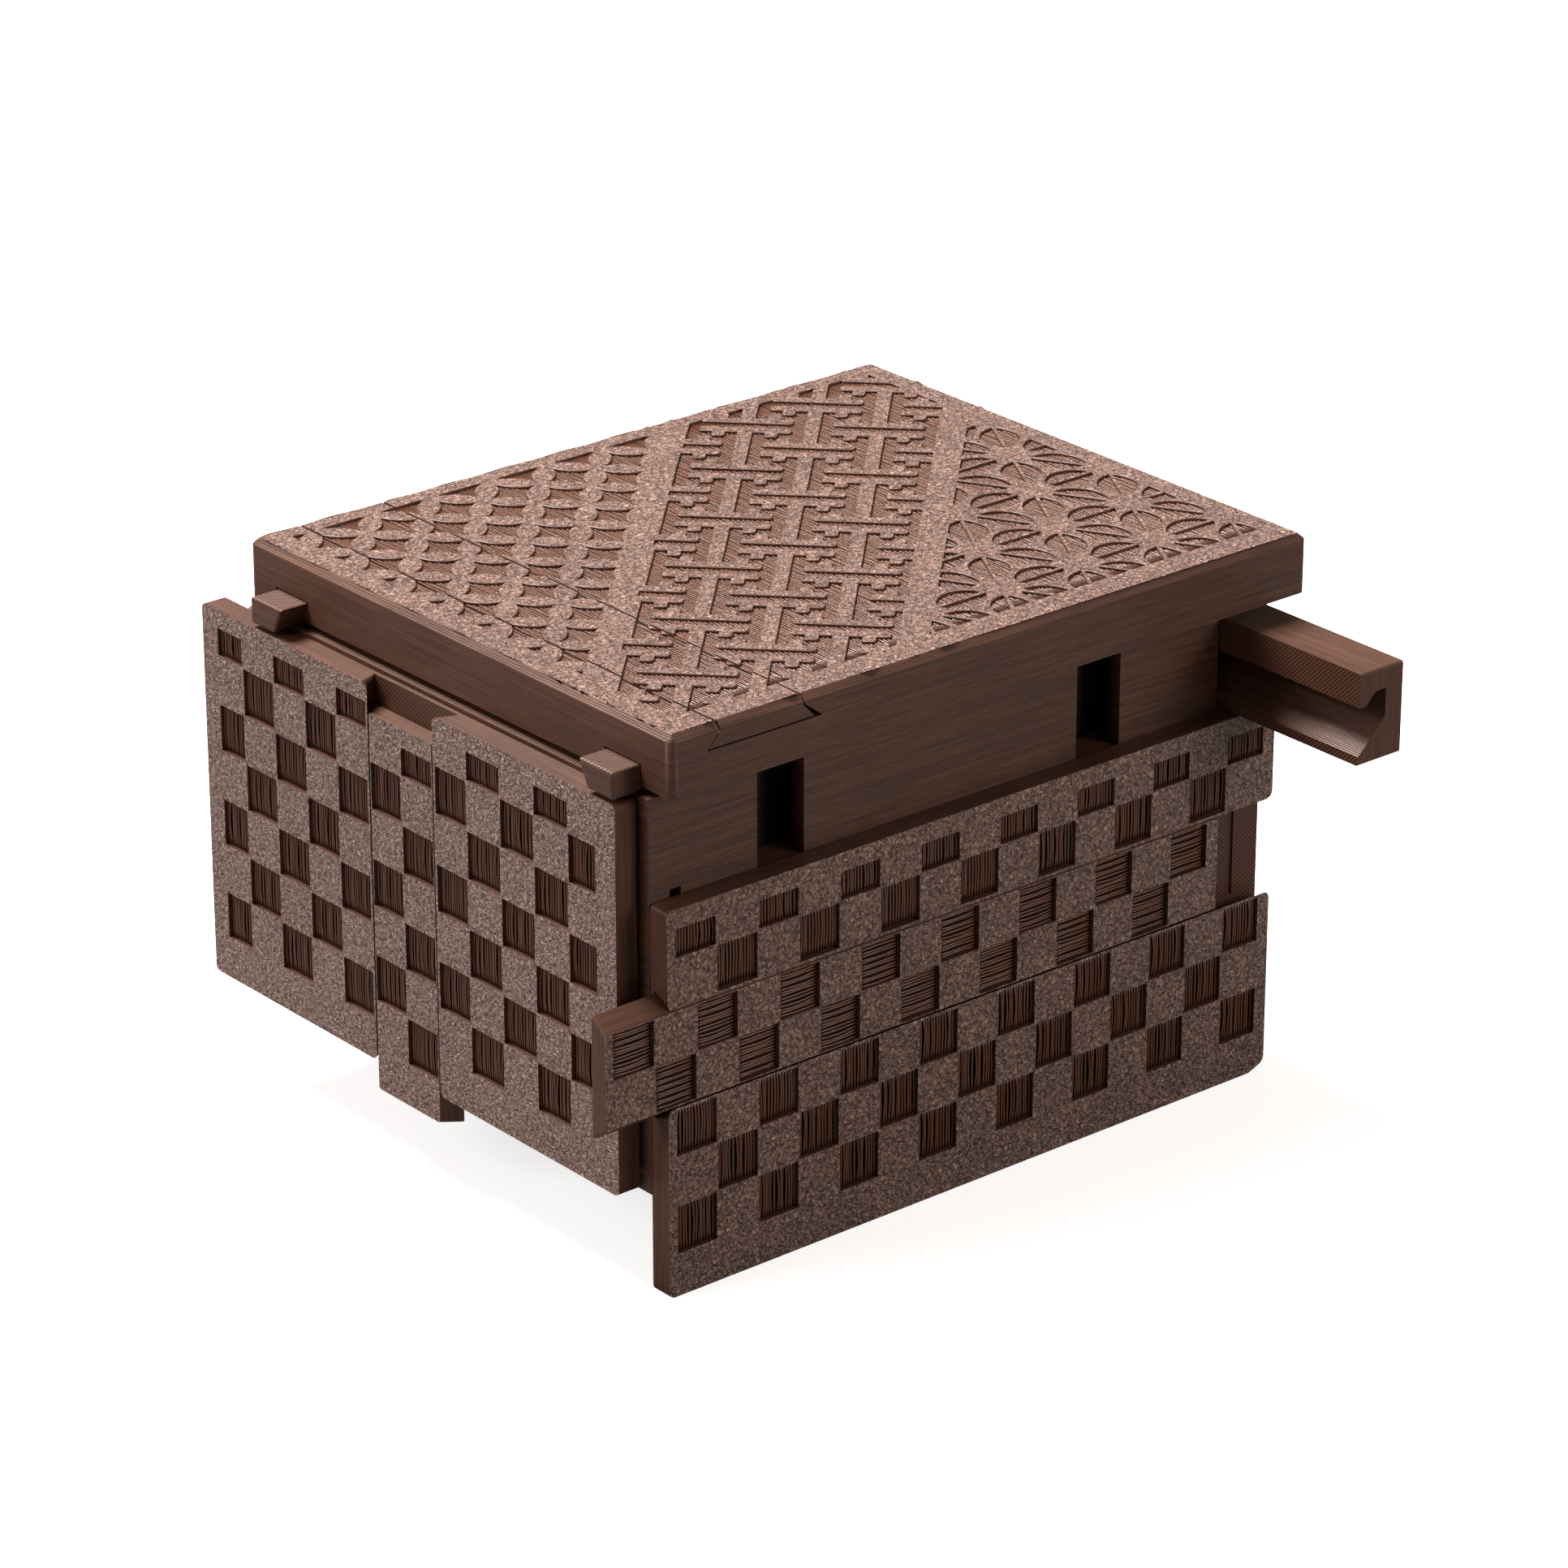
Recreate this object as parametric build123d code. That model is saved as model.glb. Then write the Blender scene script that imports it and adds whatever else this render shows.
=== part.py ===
from build123d import *
import os

# Himitsu-bako style puzzle box, printed in plastic.  Millimetres, +Z up.
# Origin: centre of the underside of the core floor.  +X runs along the long side,
# the front face with its three horizontal strips looks towards -Y.
# Every piece is drawn where it sits in the closed box and is then slid to the
# half-solved state in which the box is kept.

os.makedirs("parts", exist_ok=True)

# ---------------------------------------------------------------- driving sizes
box_length = 100.0          # X, outside of the closed box
box_width = 81.8            # Y, outside of the closed box
panel_height = 49.8         # Z, underside to the top edge of the panels
panel_thickness = 3.1       # every sliding face panel
slide_gap = 0.2             # running gap between flat sliding faces

core_height = 50.3          # top of the core walls
floor_thickness = 3.0
wall_thickness = 7.5

lid_underside = 51.1
lid_thickness = 7.7
lid_chamfer = 0.8
lid_corner_radius = 1.0

# slide positions in the kept state
lid_shift = 4.0             # lid towards +X
left_panel_shift = 5.1      # left panel towards +Y
left_key_drop = 3.7         # left key downwards
front_drop = 12.4           # front panel downwards
front_strip_shift = 9.2     # front strip towards -X
right_strip_shift = 24.3    # upper right strip towards -Y
front_spare_travel = 3.1    # what the front panel can still go down

# checker of square recesses on the faces
front_columns = 15
left_columns = 12
top_border = 2.35
bottom_border = 5.5
first_row_height = 3.85
full_rows = 6
front_left_border = 1.1
front_right_border = 1.8
left_front_border = 2.35
left_back_border = 1.9
recess_depth = 0.8
recess_margin = 0.12        # raised squares are this much larger on each side
groove_rim = 0.4            # margin of a recess beside a dovetail groove
left_end_margin = 1.3       # margin of the outermost recesses of the end panels

# dovetail grooves and strips in the face panels
groove_depth = 2.5
groove_flare = 1.85         # undercut of each flank over the groove depth
strip_gap = 0.25
strip_back_gap = 0.15
left_key_first = 5          # the left key covers columns 5 and 6 from the back
left_key_last = 7
strip_first_row = 2         # the front strip covers the third and fourth rows
strip_last_row = 4
end_notch_from = 4.15       # shallow stop groove near the right end of the front groove
end_notch_width = 1.1
end_notch_depth = 0.3
corner_cut_length = 2.6       # slanted cut at the front panel's lower right corner
corner_cut_height = 1.0

# T runners on the panel backs, and their slots in the core walls
runner_neck = 6.6
runner_flange = 10.6
runner_flange_thickness = 2.6
runner_length = 25.0
runner_side_gap = 0.2
runner_top_step = 0.3
slot_mouth_depth = 2.2
slot_inner_depth = 3.0
front_slot_centres = (-27.1, 22.75)
left_slot_heights = (12.0, 37.0)
left_runner_length = 20.0
detent_width = 1.6          # small pocket in the front wall beside its left end
detent_height = 4.0
detent_depth = 1.5
detent_from_end = 3.1

# half-dovetail rails for the lid
rail_height = 3.4
rail_top_width = 6.3
rail_undercut = 1.6
rail_outer_edge = 35.3      # from the middle plane to the vertical side
rail_clearance = 0.25
rail_end_inset = 4.0        # rail end to the right end of the closed box

# dovetail key across the lid
key_middle = -36.6          # X of its middle line in the closed lid
key_top_width = 12.4
key_bottom_width = 15.8
key_lip = 1.1               # height of the straight lip under the top face
key_depth = 3.0
key_gap = 0.15
key_right_play = 1.0        # free space beside its right flank

# upper strip of the right end, a C section hooked over a rail on the core
right_strip_height = 11.95
right_strip_top_gap = 0.2
right_strip_depth = 7.1
right_skin = 2.8            # outer wall of the C
right_lip_height = 4.4      # top face to the underside of the hook
right_lip_width = 1.0
right_hook_slant = 1.6
right_arm = 2.8             # upper arm over the rail
right_mouth_low = 1.25      # lower arm at the mouth
right_slot_back_low = 5.45  # lower arm at the back of the slot
right_clearance = 0.3

# ---------------------------------------------------------------- derived places
x_left = -box_length / 2
x_right = box_length / 2
y_front = -box_width / 2
y_back = box_width / 2
core_left = x_left + panel_thickness + slide_gap
core_right = x_right - panel_thickness - slide_gap
core_front = y_front + panel_thickness + slide_gap
core_back = y_back - panel_thickness - slide_gap
inner_left = core_left + wall_thickness
inner_right = core_right - wall_thickness
inner_front = core_front + wall_thickness
inner_back = core_back - wall_thickness

front_x0 = x_left + panel_thickness + 0.75 * slide_gap
front_x1 = x_right - 0.55
left_y0 = y_front + 0.15
left_y1 = y_back - 0.15
right_y0 = core_front + slide_gap / 2
right_y1 = core_back - slide_gap / 2

row_pitch = (panel_height - top_border - first_row_height - bottom_border) / full_rows
row_lines = [panel_height - top_border]
row_lines.append(row_lines[0] - first_row_height)
for _ in range(full_rows):
    row_lines.append(row_lines[-1] - row_pitch)

front_pitch = (front_x1 - front_x0 - front_left_border - front_right_border) / front_columns
front_lines = [front_x0 + front_left_border + i * front_pitch for i in range(front_columns + 1)]
left_pitch = (left_y1 - left_y0 - left_front_border - left_back_border) / left_columns
# the left end counts its columns from the back
left_lines = [left_y1 - left_back_border - i * left_pitch for i in range(left_columns + 1)]

strip_top = row_lines[strip_first_row]
strip_bottom = row_lines[strip_last_row]
rail_z0 = core_height
rail_z1 = core_height + rail_height
lid_top = lid_underside + lid_thickness
right_strip_top = panel_height - right_strip_top_gap
right_strip_bottom = right_strip_top - right_strip_height
right_cut_x = x_right - right_strip_depth - right_clearance
right_lower_top = right_strip_bottom - slide_gap * 2


# ---------------------------------------------------------------- shape helpers
def block(x0, x1, y0, y1, z0, z1):
    """A box between two corners."""
    size = (x1 - x0, y1 - y0, z1 - z0)
    middle = ((x0 + x1) / 2, (y0 + y1) / 2, (z0 + z1) / 2)
    return Pos(*middle) * Box(*size)


def prism(points, along):
    """A straight bar: a closed outline of 3-D points, pushed along a vector."""
    return Solid.extrude(Face(Wire.make_polygon(points, close=True)), Vector(*along))


def face_block(face, u0, u1, z0, z1, depth0, depth1):
    """A box on one of the four faces: u runs along the face, depth goes inwards."""
    if face == "front":
        return block(u0, u1, y_front + depth0, y_front + depth1, z0, z1)
    if face == "back":
        return block(u0, u1, y_back - depth1, y_back - depth0, z0, z1)
    if face == "left":
        return block(x_left + depth0, x_left + depth1, u0, u1, z0, z1)
    return block(x_right - depth1, x_right - depth0, u0, u1, z0, z1)


def margin_at(line, rims, ends, end_margin):
    """How far a recess stays from a checker line: more beside a groove and at the ends."""
    if any(abs(line - rim) < recess_margin for rim in rims):
        return groove_rim
    return end_margin if line in ends else recess_margin


def recesses(face, lines, columns, rows, rims=(), end_margin=recess_margin):
    """The checker recesses of one face, for some columns and rows counted from 0."""
    cuts = []
    ends = (lines[0], lines[-1])
    for row in rows:
        for column in columns:
            if (row + column) % 2:
                continue
            low, high = sorted((lines[column], lines[column + 1]))
            low += margin_at(low, rims, ends, end_margin)
            high -= margin_at(high, rims, ends, end_margin)
            top = row_lines[row] - margin_at(row_lines[row], rims, (), 0)
            bottom = row_lines[row + 1] + margin_at(row_lines[row + 1], rims, (), 0)
            cuts.append(face_block(face, low, high, bottom, top, -1, recess_depth))
    return cuts


def flat_strip(face, u0, u1, z0, z1, gap, depth):
    """A dovetail bar along a face: wider inside than at the face."""
    flare = groove_flare / groove_depth * depth
    outer = y_front if face == "front" else y_back
    inward = 1 if face == "front" else -1
    outline = [
        (u0, outer, z0 + gap),
        (u0, outer, z1 - gap),
        (u0, outer + inward * depth, z1 - gap + flare),
        (u0, outer + inward * depth, z0 + gap - flare),
    ]
    return prism(outline, (u1 - u0, 0, 0))


def upright_strip(y0, y1, z0, z1, gap, depth):
    """A vertical dovetail bar in the left face."""
    flare = groove_flare / groove_depth * depth
    outline = [
        (x_left, y0 + gap, z0),
        (x_left, y1 - gap, z0),
        (x_left + depth, y1 - gap + flare, z0),
        (x_left + depth, y0 + gap - flare, z0),
    ]
    return prism(outline, (0, 0, z1 - z0))


def save(shape, node):
    """Write one piece."""
    export_step(shape, f"parts/{node}.step")


# ---------------------------------------------------------------- core of the box
def upright_slot(face_y, inward, middle, z0, z1, grow):
    """A vertical T, as a slot in a wall (grow > 0) or as the runner in it (grow 0)."""
    neck = runner_neck / 2 + grow
    flange = runner_flange / 2 + grow
    flange_from = slot_mouth_depth + (0 if grow else (slot_inner_depth - runner_flange_thickness) / 2)
    flange_to = flange_from + (slot_inner_depth if grow else runner_flange_thickness)
    mouth = sorted((face_y - inward * (1 if grow else slide_gap), face_y + inward * flange_from))
    inner = sorted((face_y + inward * flange_from, face_y + inward * flange_to))
    shape = block(middle - neck, middle + neck, *mouth, z0, z1)
    return shape + block(middle - flange, middle + flange, *inner, z0, z1)


def level_slot(middle, y0, y1, grow):
    """A horizontal T in the left wall, as a slot or as the runner in it."""
    neck = runner_neck / 2 + grow
    flange = runner_flange / 2 + grow
    flange_from = slot_mouth_depth + (0 if grow else (slot_inner_depth - runner_flange_thickness) / 2)
    flange_to = flange_from + (slot_inner_depth if grow else runner_flange_thickness)
    mouth_from = core_left - (1 if grow else slide_gap)
    shape = block(mouth_from, core_left + flange_from, y0, y1, middle - neck, middle + neck)
    flange_x = (core_left + flange_from, core_left + flange_to)
    return shape + block(*flange_x, y0, y1, middle - flange, middle + flange)


floor = block(core_left, core_right, core_front, core_back, 0, floor_thickness)
save(floor, "core_floor")

runner_top = panel_height - runner_top_step
front_slot_end = runner_top - runner_length - front_drop - front_spare_travel - runner_side_gap
corner_cut_z = right_strip_bottom - right_clearance

front_wall = block(core_left, core_right, core_front, inner_front, floor_thickness, core_height)
front_wall -= [
    upright_slot(core_front, 1, middle, front_slot_end, core_height + 1, runner_side_gap)
    for middle in front_slot_centres
]
front_wall -= block(
    right_cut_x,
    core_right + 1,
    core_front - 1,
    inner_front + 1,
    corner_cut_z,
    core_height + 1,
)
detent_x = core_left + detent_from_end
detent_top = panel_height - front_drop + 0.8
front_wall -= block(
    detent_x,
    detent_x + detent_width,
    core_front - 1,
    core_front + detent_depth,
    detent_top - detent_height,
    detent_top,
)
save(front_wall, "core_front_wall")

back_wall = block(core_left, core_right, inner_back, core_back, floor_thickness, core_height)
back_wall -= block(
    right_cut_x,
    core_right + 1,
    inner_back - 1,
    core_back + 1,
    corner_cut_z,
    core_height + 1,
)
save(back_wall, "core_back_wall")

left_slot_y0 = -left_runner_length / 2 - runner_side_gap
left_wall = block(core_left, inner_left, inner_front, inner_back, floor_thickness, core_height)
left_wall -= [
    level_slot(height, left_slot_y0, inner_back + 1, runner_side_gap)
    for height in left_slot_heights
]
save(left_wall, "core_left_wall")

right_wall = block(inner_right, core_right, inner_front, inner_back, floor_thickness, core_height)
right_wall -= block(
    right_cut_x,
    core_right + 1,
    inner_front - 1,
    inner_back + 1,
    corner_cut_z,
    core_height + 1,
)
save(right_wall, "core_right_wall")


# ---------------------------------------------------------------- lid rails
def rail_outline(side, x, grow, z0, z1):
    """Section of a half-dovetail rail: straight outside, undercut towards the middle."""
    outer = side * (rail_outer_edge + grow)
    top_inner = side * (rail_outer_edge - rail_top_width - grow)
    slope = rail_undercut / rail_height
    low_inner = top_inner + side * slope * (z1 - z0)
    return [(x, outer, z0), (x, outer, z1), (x, top_inner, z1), (x, low_inner, z0)]


rail_x1 = x_right - rail_end_inset
for side, node in ((-1, "lid_rail_front"), (1, "lid_rail_back")):
    save(prism(rail_outline(side, x_left, 0, rail_z0, rail_z1), (rail_x1 - x_left, 0, 0)), node)

# ---------------------------------------------------------------- lid and its key
key_slot_low = lid_top - key_depth - key_gap


def key_outline(y, gap, low, extra):
    """Section of the lid's dovetail key or groove: straight lips, then wider below."""
    top = key_top_width / 2 + gap
    bottom = key_bottom_width / 2 + gap
    lip_z = lid_top - key_lip
    return [
        (key_middle - top, y, lid_top),
        (key_middle + top, y, lid_top),
        (key_middle + top, y, lip_z),
        (key_middle + bottom + extra, y, low),
        (key_middle - bottom, y, low),
        (key_middle - top, y, lip_z),
    ]


lid = block(x_left, x_right, y_front, y_back, lid_underside, lid_top)
lid = fillet(lid.edges().filter_by(Axis.Z), lid_corner_radius)
lid = chamfer(lid.faces().sort_by(Axis.Z)[-1].edges(), lid_chamfer)
groove_x1 = rail_x1 + slide_gap
for side in (-1, 1):
    outline = rail_outline(side, x_left - 1, rail_clearance, lid_underside - 1, rail_z1 + slide_gap)
    lid -= prism(outline, (groove_x1 - x_left + 1, 0, 0))
lid -= prism(key_outline(y_front - 1, key_gap, key_slot_low, key_right_play), (0, box_width + 2, 0))
save(lid.moved(Location((lid_shift, 0, 0))), "lid")

key = prism(key_outline(y_front, 0, lid_top - key_depth, 0), (0, box_width, 0))
end_cut = lid_chamfer
for y, turn in ((y_front, 1), (y_back, -1)):
    wedge = [
        (x_left, y, lid_top + 1),
        (x_left, y, lid_top - end_cut),
        (x_left, y + turn * end_cut, lid_top),
        (x_left, y + turn * end_cut, lid_top + 1),
    ]
    if turn < 0:
        wedge.reverse()
    key -= prism(wedge, (box_length, 0, 0))
save(key.moved(Location((lid_shift, 0, 0))), "lid_key")

# ---------------------------------------------------------------- front panel
strip_rows = range(strip_first_row, strip_last_row)
plain_rows = [row for row in range(full_rows + 1) if row not in strip_rows]
strip_rims = (strip_top, strip_bottom)


def long_panel(face):
    """Front or back panel: a plate with a dovetail groove along it, and its strip."""
    back = panel_thickness + (slide_gap if face == "back" else 0)   # the back one is fixed to the core
    plate = face_block(face, front_x0, front_x1, 0, panel_height, 0, back)
    plate -= flat_strip(face, front_x0 - 1, front_x1 + 1, strip_bottom, strip_top, 0, groove_depth)
    plate -= recesses(face, front_lines, range(front_columns), plain_rows, strip_rims)
    strip_depth = groove_depth - strip_back_gap
    strip = flat_strip(face, front_x0, front_x1, strip_bottom, strip_top, strip_gap, strip_depth)
    return plate, strip - recesses(face, front_lines, range(front_columns), strip_rows, strip_rims)


front_panel, front_strip = long_panel("front")
notch_x1 = front_x1 - end_notch_from
front_panel -= face_block(
    "front",
    notch_x1 - end_notch_width,
    notch_x1,
    strip_bottom,
    strip_top,
    groove_depth - 1,
    groove_depth + end_notch_depth,
)
corner_cut = Polygon(
    (front_x1 - corner_cut_length, 0),
    (front_x1 + corner_cut_length, 0),
    (front_x1 + corner_cut_length, 2 * corner_cut_height),
    align=None,
)
front_plane = Plane((0, -box_width / 2, 0), x_dir=(1, 0, 0), z_dir=(0, -1, 0))
front_panel -= extrude(front_plane * corner_cut, amount=panel_thickness + 1, both=True)
front_place = Location((0, 0, -front_drop))
save(front_panel.moved(front_place), "front_panel")
save(front_strip.moved(Location((-front_strip_shift, 0, -front_drop))), "front_strip")
for middle, node in zip(front_slot_centres, ("front_runner_left", "front_runner_right")):
    runner = upright_slot(core_front, 1, middle, runner_top - runner_length, runner_top, 0)
    save(runner.moved(front_place), node)

back_panel, back_strip = long_panel("back")
save(back_panel, "back_panel")
save(back_strip, "back_strip")

# ---------------------------------------------------------------- left end panel
key_y0 = left_lines[left_key_last]
key_y1 = left_lines[left_key_first]
key_columns = range(left_key_first, left_key_last)
side_columns = [column for column in range(left_columns) if column not in key_columns]
all_rows = range(full_rows + 1)

left_panel = face_block("left", left_y0, left_y1, 0, panel_height, 0, panel_thickness)
left_panel -= upright_strip(key_y0, key_y1, -1, panel_height + 1, 0, groove_depth)
left_panel -= recesses("left", left_lines, side_columns, all_rows, (key_y0, key_y1), left_end_margin)
left_place = Location((0, left_panel_shift, 0))
save(left_panel.moved(left_place), "left_panel")

left_key = upright_strip(key_y0, key_y1, 0, panel_height, strip_gap, groove_depth - strip_back_gap)
left_key -= recesses("left", left_lines, key_columns, all_rows, (key_y0, key_y1), left_end_margin)
save(left_key.moved(Location((0, left_panel_shift, -left_key_drop))), "left_key")

for height, node in zip(left_slot_heights, ("left_runner_lower", "left_runner_upper")):
    runner = level_slot(height, -left_runner_length / 2, left_runner_length / 2, 0)
    save(runner.moved(left_place), node)


# ---------------------------------------------------------------- right end
def c_slot(y, grow):
    """Outline of the slot in the C strip, or of the rail in it when grow is negative."""
    top = right_strip_top
    back = x_right - right_skin + grow
    mouth = x_right - right_strip_depth
    wall = right_cut_x if grow < 0 else mouth - 1
    lip_x = mouth + right_lip_width
    hook_x = lip_x + right_hook_slant
    slope = (right_slot_back_low - right_mouth_low) / (right_strip_depth - right_skin)
    low_mouth = right_strip_bottom + right_mouth_low - grow - slope * (mouth - wall)
    low_back = low_mouth + slope * (back - wall)
    return [
        (wall, y, low_mouth),
        (back, y, low_back),
        (back, y, top - right_arm + grow),
        (hook_x - grow, y, top - right_arm + grow),
        (lip_x - grow, y, top - right_lip_height + grow),
        (wall, y, top - right_lip_height + grow),
    ]


strip = block(
    x_right - right_strip_depth,
    x_right,
    right_y0,
    right_y1,
    right_strip_bottom,
    right_strip_top,
)
strip -= prism(c_slot(right_y0 - 1, 0), (0, right_y1 - right_y0 + 2, 0))
strip -= recesses("right", left_lines, range(1, left_columns - 1), range(2))
save(strip.moved(Location((0, -right_strip_shift, 0))), "right_upper_strip")
save(prism(c_slot(inner_front, -right_clearance), (0, inner_back - inner_front, 0)), "right_rail")

right_panel = block(x_right - panel_thickness, x_right, right_y0, right_y1, 0, right_lower_top)
right_panel += block(
    core_right,
    x_right - panel_thickness,
    inner_front,
    inner_back,
    0,
    corner_cut_z - 1,
)
right_panel -= recesses("right", left_lines, range(1, left_columns - 1), range(2, full_rows + 1))
save(right_panel, "right_lower_panel")
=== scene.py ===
# %% [markdown]
# # A printed puzzle box, part way through its moves
# The box is printed in brown filament.  Its face panels were printed face down on a textured
# plate, so the raised squares are wrinkled, the recesses show loose bridging lines, and every
# side shows the thin layers it was built from.  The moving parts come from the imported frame,
# and this file gives them their surfaces and their small shapes.

# %% Load the frame
import math
import random

import bmesh
import bpy
from mathutils import Matrix, Vector
from mathutils.geometry import delaunay_2d_cdt


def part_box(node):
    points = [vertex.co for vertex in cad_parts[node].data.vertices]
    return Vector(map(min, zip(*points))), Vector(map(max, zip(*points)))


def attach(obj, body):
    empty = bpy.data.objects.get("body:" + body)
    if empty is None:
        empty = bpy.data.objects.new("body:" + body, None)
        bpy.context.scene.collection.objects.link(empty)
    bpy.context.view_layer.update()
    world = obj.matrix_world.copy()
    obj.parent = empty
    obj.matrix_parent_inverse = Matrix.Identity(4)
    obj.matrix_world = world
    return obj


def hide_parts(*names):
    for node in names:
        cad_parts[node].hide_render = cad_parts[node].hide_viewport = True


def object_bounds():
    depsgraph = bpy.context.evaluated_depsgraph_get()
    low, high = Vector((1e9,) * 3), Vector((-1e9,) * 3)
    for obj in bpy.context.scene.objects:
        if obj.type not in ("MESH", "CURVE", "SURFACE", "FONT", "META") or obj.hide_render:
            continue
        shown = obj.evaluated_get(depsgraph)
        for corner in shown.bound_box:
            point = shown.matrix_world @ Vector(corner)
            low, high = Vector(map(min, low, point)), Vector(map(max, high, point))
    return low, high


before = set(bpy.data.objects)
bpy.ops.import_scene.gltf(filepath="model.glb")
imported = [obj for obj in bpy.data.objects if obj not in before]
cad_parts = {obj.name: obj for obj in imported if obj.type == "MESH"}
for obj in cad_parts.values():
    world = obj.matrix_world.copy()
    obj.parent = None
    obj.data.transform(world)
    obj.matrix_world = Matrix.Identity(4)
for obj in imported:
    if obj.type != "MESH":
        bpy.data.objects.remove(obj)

MM = 0.001
cad_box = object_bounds()
print("CAD box", [round(value / MM, 1) for corner in cad_box for value in corner])

# %% [markdown]
# ## The camera
# A long lens from the front left corner keeps the edges nearly parallel, as a product
# picture does.  The camera comes first, so that everything else is judged through it.

# %% Camera
VIEW_DIRECTION = Vector((0.58807, 0.70407, -0.39806))
camera = bpy.data.objects.new("camera", bpy.data.cameras.new("camera"))
camera.data.lens = 140.33
camera.data.sensor_width = 36.0
camera.location = (-0.44185, -0.53477, 0.32777)
camera.rotation_mode = "QUATERNION"
camera.rotation_quaternion = VIEW_DIRECTION.to_track_quat("-Z", "Y")
bpy.context.scene.collection.objects.link(camera)
bpy.context.scene.camera = camera
bpy.context.scene.view_settings.view_transform = "Standard"

# %% [markdown]
# ## Floor and light
# One soft box stands high behind the box and rakes over the lid, which makes the relief
# readable.  A second one at the left lights the end panel, a weak one fills the shaded front,
# and a little light comes from the world.


# %% Light and floor
def node(tree, kind, settings=(), links=()):
    """Add one shader node, set its sockets or properties, and link what comes in."""
    made = tree.nodes.new(kind)
    for name, value in dict(settings).items():
        if isinstance(name, int) or name in made.inputs:
            made.inputs[name].default_value = value
        else:
            setattr(made, name, value)
    for name, source in dict(links).items():
        tree.links.new(source, made.inputs[name])
    return made


def linear(code):
    """An sRGB hex colour as linear red, green, blue and alpha."""
    parts = [int(code[i:i + 2], 16) / 255 for i in (1, 3, 5)]
    return [p / 12.92 if p <= 0.04045 else ((p + 0.055) / 1.055) ** 2.4 for p in parts] + [1.0]


def soft_box(name, place, target, size, power):
    """A square, slightly warm area light that looks at a point."""
    lamp = bpy.data.objects.new(name, bpy.data.lights.new(name, "AREA"))
    lamp.data.size = size
    lamp.data.energy = power
    lamp.data.color = linear("#fff5ef")[:3]
    lamp.location = place
    lamp.rotation_mode = "QUATERNION"
    lamp.rotation_quaternion = (Vector(target) - Vector(place)).to_track_quat("-Z", "Y")
    bpy.context.scene.collection.objects.link(lamp)


WORLD_STRENGTH = 0.24
FLOOR_HALF_WIDTH = 6.0  # m
FLOOR_GLOW = 0.74       # lifts the paper to white for the camera alone

soft_box("overhead", place=(-0.10, 0.40, 0.80), target=(0, 0, 0.03), size=0.35, power=23.0)
soft_box("left wall", place=(-1.15, 0.40, 0.70), target=(0, 0, 0.02), size=0.6, power=9.0)
soft_box("front fill", place=(0.5, -1.1, 0.45), target=(0, 0, 0.02), size=0.45, power=6.8)

world = bpy.data.worlds.new("studio")
world.use_nodes = True
world.node_tree.nodes["Background"].inputs["Color"].default_value = linear("#fff3ec")
world.node_tree.nodes["Background"].inputs["Strength"].default_value = WORLD_STRENGTH
bpy.context.scene.world = world

floor_mesh = bpy.data.meshes.new("floor")
sketch = bmesh.new()
bmesh.ops.create_grid(sketch, x_segments=1, y_segments=1, size=FLOOR_HALF_WIDTH)
bmesh.ops.translate(sketch, verts=sketch.verts[:], vec=(0, 0, cad_box[0].z))
sketch.to_mesh(floor_mesh)
sketch.free()
floor = bpy.data.objects.new("floor", floor_mesh)
bpy.context.scene.collection.objects.link(floor)

paper = bpy.data.materials.new("matt paper backdrop")
paper.use_nodes = True
tree = paper.node_tree
sheet = tree.nodes["Principled BSDF"]
sheet.inputs["Roughness"].default_value = 0.9
sheet.inputs["Emission Color"].default_value = linear("#ffffff")
seen = node(tree, "ShaderNodeLightPath").outputs["Is Camera Ray"]
tone = node(tree, "ShaderNodeMix",
            {"data_type": "RGBA", 6: linear("#6f6f6f"), 7: linear("#d8d8d8")}, {0: seen})
glow = node(tree, "ShaderNodeMath", {"operation": "MULTIPLY", 1: FLOOR_GLOW}, {0: seen})
tree.links.new(tone.outputs[2], sheet.inputs["Base Color"])
tree.links.new(glow.outputs[0], sheet.inputs["Emission Strength"])
floor_mesh.materials.append(paper)

# %% [markdown]
# ## The filament
# One brown filament makes every piece.  What changes is the surface:
# - a face that lay on the textured plate is covered in small wrinkles, with painted shade in their
#   hollows, a painted highlight on their tops and a soft grey sheen painted into its colour;
# - a side shows its layers, 0.2 mm each, as fine lines round the piece, with painted shade in their
#   grooves;
# - the last layer on top shows the nozzle's diagonal lines, 0.42 mm apart, with painted shade
#   between them;
# - bridging lines over a recess are loose round strands, painted darker on their sides turned from
#   the face.
# The material finds out which of these it is on from the object's own coordinates and normal.

# %% Filament materials
LAYER = 0.2             # mm, one printed layer
STREAK = 0.45           # mm, groups of layers that differ, drawn coarse enough to show
LINE = 0.42             # mm, one extruded line
GRAIN = 0.5             # mm, wrinkle spacing of the plate's texture
BROWN = "#4b3125"       # the filament itself
PAINTED_SHEEN = "#866e65"        # painted sheen: the filament made lighter and greyer where the matted plate face reflects the room
LAYER_BUMP = 0.02       # mm, how far a layer stands out
STREAK_BUMP = 0.05      # mm, how far one group of layers stands out from the next
LINE_BUMP = 0.05        # mm, how far a line of the last layer stands out
WRINKLE_BUMP = 0.5      # mm
STRAND_BUMP = 0.05      # mm
STREAK_STRETCH = 0.07   # streaks change this many times per mm along a layer
FACE_SLACK = 0.12       # mm, how far behind its level a point still counts as on the face
STRAND_DEPTH = 1.3      # mm, floors nearer than this, less the slack, lie under strands and get painted shade
STRAND_ROUGHNESS = 0.24


def math_node(tree, operation, first, second=0.0, third=None):
    """A Math node on sockets or numbers."""
    made = tree.nodes.new("ShaderNodeMath")
    made.operation = operation
    for slot, value in enumerate((first, second, third)):
        if value is None:
            continue
        if isinstance(value, (int, float)):
            made.inputs[slot].default_value = value
        else:
            tree.links.new(value, made.inputs[slot])
    return made.outputs[0]


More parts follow.
